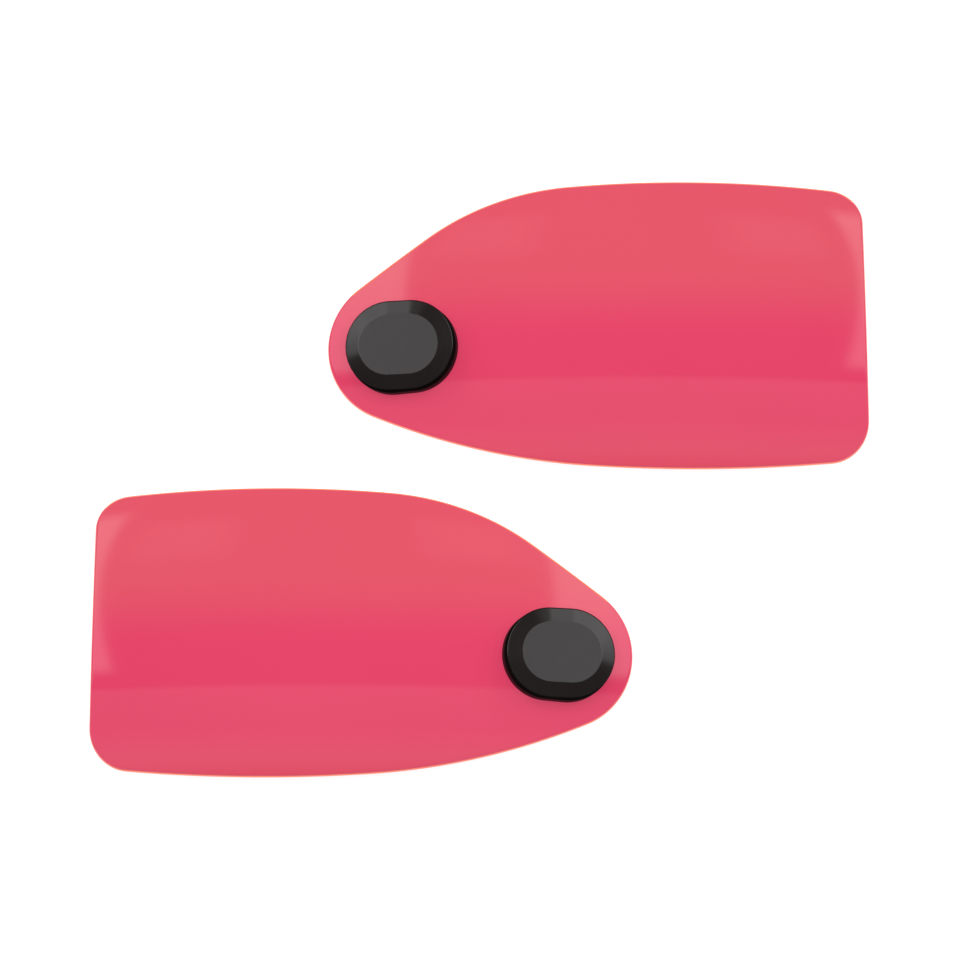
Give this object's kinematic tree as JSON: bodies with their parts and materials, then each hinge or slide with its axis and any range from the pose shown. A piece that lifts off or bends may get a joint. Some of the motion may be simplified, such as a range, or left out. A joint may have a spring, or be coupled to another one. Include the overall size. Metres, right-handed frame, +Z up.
{
  "type": "skate blade guards",
  "caption": "Pair of thin, double-curved pink side shields, left and right, each with a black bevelled quarter-turn knob at its narrow end that locks on a stud.",
  "frame": {"origin": "centre of the pair's bounding box, on the floor that the guards lie on", "axes": "+X along the guards, towards the right guard's wide end; +Y across them, from the left guard to the right guard; +Z up, the shields' bulging faces upwards"},
  "size_m": [0.2154, 0.1694, 0.0171],
  "materials": {
    "shield_pink": "glossy fluorescent pink polycarbonate, slightly see-through, glowing orange along its cut edge",
    "knob_black": "black moulded plastic with a satin gloss",
    "seat_black": "black moulded plastic, fine matt",
    "back_black": "black moulded plastic, fine matt",
    "gasket_rubber": "black rubber sheet",
    "pad_rubber": "dark rubber pad",
    "steel": "turned stainless steel",
    "spring_steel": "blued spring steel",
    "screw_steel": "zinc plated steel",
    "washer_white": "white acetal"
  },
  "bodies": {
    "right_guard": {"right_shield": "shield_pink", "right_seat_gasket": "gasket_rubber", "right_seat": "seat_black", "right_thrust_washer": "washer_white", "right_back_plate": "back_black", "right_back_pad": "pad_rubber", "right_screws": "screw_steel"},
    "right_knob_set": {"right_knob": "knob_black", "right_hub": "steel", "right_spring_washer": "spring_steel", "right_circlip": "spring_steel"},
    "left_guard": {"left_shield": "shield_pink", "left_seat_gasket": "gasket_rubber", "left_seat": "seat_black", "left_thrust_washer": "washer_white", "left_back_plate": "back_black", "left_back_pad": "pad_rubber", "left_screws": "screw_steel"},
    "left_knob_set": {"left_knob": "knob_black", "left_hub": "steel", "left_spring_washer": "spring_steel", "left_circlip": "spring_steel"}
  },
  "joints": [
    {"name": "right_knob_turn", "type": "hinge", "parent": "right_guard", "child": "right_knob_set", "pos_m": [-0.02113, 0.0365, 0.00771], "axis": [-0.215, -0.077, 0.9736], "range_deg": [0, 90]},
    {"name": "left_guard_lift", "type": "slide", "parent": "right_guard", "child": "left_guard", "axis": [0, 0, 1], "range_m": [0, 0.06]},
    {"name": "left_knob_turn", "type": "hinge", "parent": "left_guard", "child": "left_knob_set", "pos_m": [0.02113, -0.051, 0.00771], "axis": [-0.215, 0.077, -0.9736], "range_deg": [0, 90]}
  ]
}
